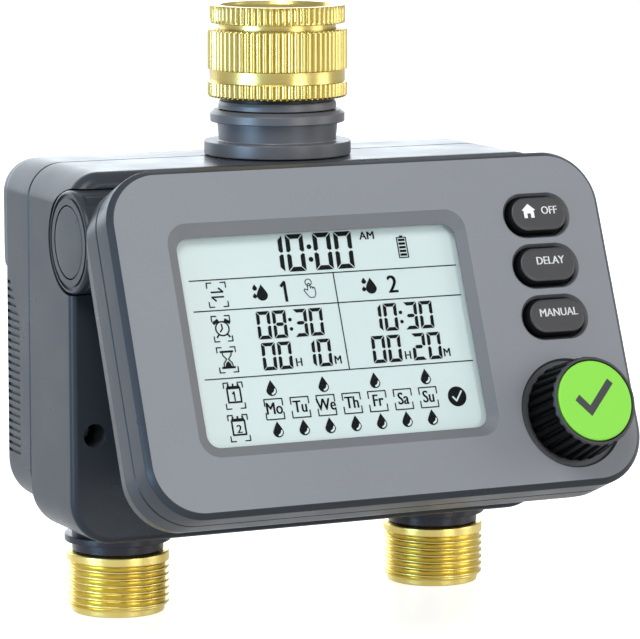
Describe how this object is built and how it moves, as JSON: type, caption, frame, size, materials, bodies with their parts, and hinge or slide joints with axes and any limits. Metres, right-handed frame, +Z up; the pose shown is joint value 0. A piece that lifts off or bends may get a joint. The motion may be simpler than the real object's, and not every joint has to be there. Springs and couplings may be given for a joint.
{
  "type": "drip irrigation timer",
  "caption": "Tap-mounted irrigation timer with a knurled swivel inlet, threaded outlets, and a tilting panel that holds a display, push buttons and a ribbed dial.",
  "frame": {"origin": "centre of the inlet's mouth, in the plane of the brass adapter's top rim", "axes": "+Z up along the inlet axis, -Y to the front where the panel is, +X to the side with the dial"},
  "size_m": [0.1354, 0.1113, 0.1547],
  "materials": {
    "shell": "satin moulded, blue-grey",
    "bezel": "fine moulded texture, metallic grey",
    "neck": "satin moulded, dark grey",
    "outlet_plastic": "dark moulded",
    "black_plastic": "moulded",
    "white_plastic": "moulded",
    "key": "soft matt",
    "dial": "ribbed, semi-matt",
    "green": "soft matt",
    "brass": "knurled and bright",
    "outlet_brass": "threaded and bright",
    "steel": "bright",
    "rubber": "matt",
    "lens": "clear",
    "display": "reflective liquid crystal glass",
    "board": "solder mask",
    "copper": "enamelled copper winding",
    "cell": "printed sleeve"
  },
  "bodies": {
    "housing": {"front_shell": "shell", "rear_shell": "shell", "shell_seal_left": "rubber", "shell_seal_right": "rubber", "shell_screw_1": "steel", "shell_screw_2": "steel", "shell_screw_3": "steel", "shell_screw_4": "steel", "inlet_neck": "neck", "inlet_snap_ring": "black_plastic", "inlet_filter": "steel", "valve_manifold": "black_plastic", "outlet_neck_left": "outlet_plastic", "outlet_neck_right": "outlet_plastic", "outlet_thread_left": "outlet_brass", "outlet_thread_right": "outlet_brass", "solenoid_coil_left": "copper", "solenoid_coil_right": "copper", "valve_bonnet_left": "white_plastic", "valve_bonnet_right": "white_plastic", "valve_diaphragm_left": "rubber", "valve_diaphragm_right": "rubber", "plunger_spring_left": "steel", "plunger_spring_right": "steel", "hinge_pin_left": "steel", "hinge_pin_right": "steel"},
    "inlet_swivel": {"inlet_nut": "brass", "inlet_adapter": "brass", "adapter_washer": "rubber", "inlet_washer": "rubber"},
    "panel": {"panel_bezel": "bezel", "panel_rear_cover": "shell", "panel_gasket": "rubber", "lcd_lens": "lens", "lcd_module": "display", "circuit_board": "board", "button_mat": "rubber", "dial_encoder": "steel", "battery_1": "cell", "battery_2": "cell", "battery_3": "cell", "battery_4": "cell", "battery_contact_left": "steel", "battery_contact_right": "steel", "hinge_cap_left": "shell", "hinge_cap_right": "shell", "panel_screw_1": "steel", "panel_screw_2": "steel", "panel_screw_3": "steel", "panel_screw_4": "steel"},
    "button_off": {"button_off": "key"},
    "button_delay": {"button_delay": "key"},
    "button_manual": {"button_manual": "key"},
    "dial_ring": {"dial_ring": "dial"},
    "dial_cap": {"dial_cap": "green"},
    "battery_cover": {"battery_cover": "shell"},
    "plunger_left": {"plunger_left": "steel"},
    "plunger_right": {"plunger_right": "steel"}
  },
  "joints": [
    {"name": "panel_tilt", "type": "hinge", "parent": "housing", "child": "panel", "pos_m": [0, -0.0225, -0.0559], "axis": [-1, 0, 0], "range_deg": [-22.4, 15]},
    {"name": "inlet_swivel_turn", "type": "hinge", "parent": "housing", "child": "inlet_swivel", "pos_m": [0, 0, -0.015], "axis": [0, 0, 1], "continuous": true},
    {"name": "button_off_press", "type": "slide", "parent": "panel", "child": "button_off", "axis": [0, 0.9245, -0.3811], "range_m": [0, 0.001], "stiffness_N_per_m": 800, "springref_m": -0.0005},
    {"name": "button_delay_press", "type": "slide", "parent": "panel", "child": "button_delay", "axis": [0, 0.9245, -0.3811], "range_m": [0, 0.001], "stiffness_N_per_m": 800, "springref_m": -0.0005},
    {"name": "button_manual_press", "type": "slide", "parent": "panel", "child": "button_manual", "axis": [0, 0.9245, -0.3811], "range_m": [0, 0.001], "stiffness_N_per_m": 800, "springref_m": -0.0005},
    {"name": "dial_turn", "type": "hinge", "parent": "panel", "child": "dial_ring", "pos_m": [0.0487, -0.07259, -0.09869], "axis": [0, -0.9245, 0.3811], "continuous": true},
    {"name": "dial_cap_press", "type": "slide", "parent": "panel", "child": "dial_cap", "axis": [0, 0.9245, -0.3811], "range_m": [0, 0.0008], "stiffness_N_per_m": 800, "springref_m": -0.0005},
    {"name": "battery_cover_slide", "type": "slide", "parent": "panel", "child": "battery_cover", "axis": [0, -0.3811, -0.9245], "range_m": [0, 0.04]},
    {"name": "plunger_left_lift", "type": "slide", "parent": "housing", "child": "plunger_left", "axis": [0, 0, 1], "range_m": [0, 0.002], "stiffness_N_per_m": 60, "springref_m": -0.004, "deforming": ["plunger_spring_left"]},
    {"name": "plunger_right_lift", "type": "slide", "parent": "housing", "child": "plunger_right", "axis": [0, 0, 1], "range_m": [0, 0.002], "stiffness_N_per_m": 60, "springref_m": -0.004, "deforming": ["plunger_spring_right"]}
  ]
}
